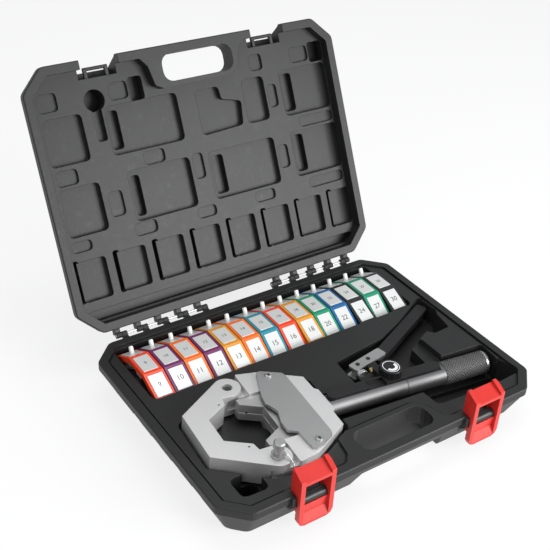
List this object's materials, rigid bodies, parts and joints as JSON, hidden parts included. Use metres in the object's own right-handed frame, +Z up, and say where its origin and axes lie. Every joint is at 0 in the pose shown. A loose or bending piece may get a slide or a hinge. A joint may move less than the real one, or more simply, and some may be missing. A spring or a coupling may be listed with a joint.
{
  "type": "hydraulic hose crimper",
  "caption": "Hand pumped hydraulic hose crimper with a gated head, lying in an open carrying case with a row of coloured die halves.",
  "frame": {"origin": "centre of the face the case stands on", "axes": "+Z up, +X along the case towards the tool's handle, +Y from the case's handle to its hinges"},
  "size_m": [0.5, 0.5926, 0.3933],
  "materials": {
    "case_plastic": "fine grained, satin",
    "latch_plastic": "satin",
    "bar_plastic": "satin",
    "pin_steel": "turned",
    "head_steel": "shot blasted, satin plating",
    "cover_steel": "fine brushed",
    "ram_steel": "satin plating",
    "tube_steel": "brushed",
    "black_metal": "satin black",
    "grip_plastic": "knurled",
    "knob_plastic": "satin",
    "brass": "plain",
    "seal_rubber": "plain",
    "jaw_steel": "ground",
    "die_orange_red": "satin",
    "die_purple": "satin",
    "die_orange": "satin",
    "die_ochre": "satin",
    "die_teal": "satin",
    "die_green": "satin",
    "die_blue": "satin",
    "die_black": "satin"
  },
  "bodies": {
    "case": {"case_base": "case_plastic", "hinge_pins": "pin_steel", "latch_bars": "bar_plastic"},
    "lid": {"case_lid": "case_plastic", "lid_rim": "case_plastic"},
    "latch_l": {"latch_left": "latch_plastic"},
    "latch_r": {"latch_right": "latch_plastic"},
    "crimper": {"head_body": "head_steel", "gate": "head_steel", "gate_hinge_pin": "pin_steel", "cover_plate_top": "cover_steel", "cover_plate_bottom": "cover_steel", "cover_screws": "pin_steel", "cylinder_tube": "tube_steel", "reservoir_tube": "tube_steel", "handle_grip": "grip_plastic", "grip_end_ring": "pin_steel", "pump_body": "black_metal", "plunger_gland": "brass", "gate_spring_clip": "pin_steel"},
    "ram_group": {"ram": "ram_steel", "piston": "pin_steel", "piston_seal": "seal_rubber", "return_spring": "pin_steel"},
    "knob": {"release_stem": "pin_steel", "release_knob": "knob_plastic"},
    "lever": {"lever_link": "cover_steel", "link_pins": "black_metal", "pump_lever": "black_metal"},
    "plunger": {"pump_plunger": "cover_steel"},
    "lock": {"lock_pin": "cover_steel", "pin_chain": "pin_steel"},
    "die_01": {"die_jaws_01": "jaw_steel", "die_band_01": "die_orange_red"},
    "die_02": {"die_jaws_02": "jaw_steel", "die_band_02": "die_purple"},
    "die_03": {"die_jaws_03": "jaw_steel", "die_band_03": "die_orange"},
    "die_04": {"die_jaws_04": "jaw_steel", "die_band_04": "die_purple"},
    "die_05": {"die_jaws_05": "jaw_steel", "die_band_05": "die_ochre"},
    "die_06": {"die_jaws_06": "jaw_steel", "die_band_06": "die_orange"},
    "die_07": {"die_jaws_07": "jaw_steel", "die_band_07": "die_teal"},
    "die_08": {"die_jaws_08": "jaw_steel", "die_band_08": "die_orange_red"},
    "die_09": {"die_jaws_09": "jaw_steel", "die_band_09": "die_ochre"},
    "die_10": {"die_jaws_10": "jaw_steel", "die_band_10": "die_green"},
    "die_11": {"die_jaws_11": "jaw_steel", "die_band_11": "die_blue"},
    "die_12": {"die_jaws_12": "jaw_steel", "die_band_12": "die_black"},
    "die_13": {"die_jaws_13": "jaw_steel", "die_band_13": "die_green"},
    "die_14": {"die_jaws_14": "jaw_steel", "die_band_14": "die_black"}
  },
  "joints": [
    {"name": "lid_hinge", "type": "hinge", "parent": "case", "child": "lid", "pos_m": [0, 0.19215, 0.0571], "axis": [1, 0, 0], "range_deg": [0, 116.05]},
    {"name": "latch_left_hinge", "type": "hinge", "parent": "case", "child": "latch_l", "pos_m": [-0.1355, -0.18225, 0.045], "axis": [-1, 0, 0], "range_deg": [-25, 16]},
    {"name": "latch_right_hinge", "type": "hinge", "parent": "case", "child": "latch_r", "pos_m": [0.1355, -0.18225, 0.045], "axis": [-1, 0, 0], "range_deg": [-25, 16]},
    {"name": "crimper_lift", "type": "slide", "parent": "case", "child": "crimper", "axis": [-0.04, 0.0038, -0.9992], "range_m": [-0.09, 0]},
    {"name": "ram_slide", "type": "slide", "parent": "crimper", "child": "ram_group", "axis": [0.9947, -0.0949, -0.0401], "range_m": [-0.0135, 0], "stiffness_N_per_m": 300, "springref_m": 0.002},
    {"name": "knob_turn", "type": "hinge", "parent": "crimper", "child": "knob", "pos_m": [0.07489, -0.06692, 0.06483], "axis": [0.04, -0.0038, 0.9992], "range_deg": [0, 180]},
    {"name": "lever_pivot", "type": "hinge", "parent": "crimper", "child": "lever", "pos_m": [0.07024, -0.02509, 0.04996], "axis": [0.04, -0.0038, 0.9992], "range_deg": [-4, 0]},
    {"name": "plunger_slide", "type": "slide", "parent": "crimper", "child": "plunger", "axis": [-0.095, -0.9955, 0], "range_m": [-0.0015, 0]},
    {"name": "lock_pin_slide", "type": "slide", "parent": "crimper", "child": "lock", "axis": [-0.04, 0.0038, -0.9992], "range_m": [-0.036, 0]},
    {"name": "die_01_lift", "type": "slide", "parent": "case", "child": "die_01", "axis": [0, 0, -1], "range_m": [-0.06, 0]},
    {"name": "die_02_lift", "type": "slide", "parent": "case", "child": "die_02", "axis": [0, 0, -1], "range_m": [-0.06, 0]},
    {"name": "die_03_lift", "type": "slide", "parent": "case", "child": "die_03", "axis": [0, 0, -1], "range_m": [-0.06, 0]},
    {"name": "die_04_lift", "type": "slide", "parent": "case", "child": "die_04", "axis": [0, 0, -1], "range_m": [-0.06, 0]},
    {"name": "die_05_lift", "type": "slide", "parent": "case", "child": "die_05", "axis": [0, 0, -1], "range_m": [-0.06, 0]},
    {"name": "die_06_lift", "type": "slide", "parent": "case", "child": "die_06", "axis": [0, 0, -1], "range_m": [-0.06, 0]},
    {"name": "die_07_lift", "type": "slide", "parent": "case", "child": "die_07", "axis": [0, 0, -1], "range_m": [-0.06, 0]},
    {"name": "die_08_lift", "type": "slide", "parent": "case", "child": "die_08", "axis": [0, 0, -1], "range_m": [-0.06, 0]},
    {"name": "die_09_lift", "type": "slide", "parent": "case", "child": "die_09", "axis": [0, 0, -1], "range_m": [-0.06, 0]},
    {"name": "die_10_lift", "type": "slide", "parent": "case", "child": "die_10", "axis": [0, 0, -1], "range_m": [-0.06, 0]},
    {"name": "die_11_lift", "type": "slide", "parent": "case", "child": "die_11", "axis": [0, 0, -1], "range_m": [-0.06, 0]},
    {"name": "die_12_lift", "type": "slide", "parent": "case", "child": "die_12", "axis": [0, 0, -1], "range_m": [-0.06, 0]},
    {"name": "die_13_lift", "type": "slide", "parent": "case", "child": "die_13", "axis": [0, 0, -1], "range_m": [-0.06, 0]},
    {"name": "die_14_lift", "type": "slide", "parent": "case", "child": "die_14", "axis": [0, 0, -1], "range_m": [-0.06, 0]}
  ],
  "couplings": [
    {"joint": "plunger_slide", "follows": "lever_pivot", "m_per_rad": 0.0205}
  ]
}
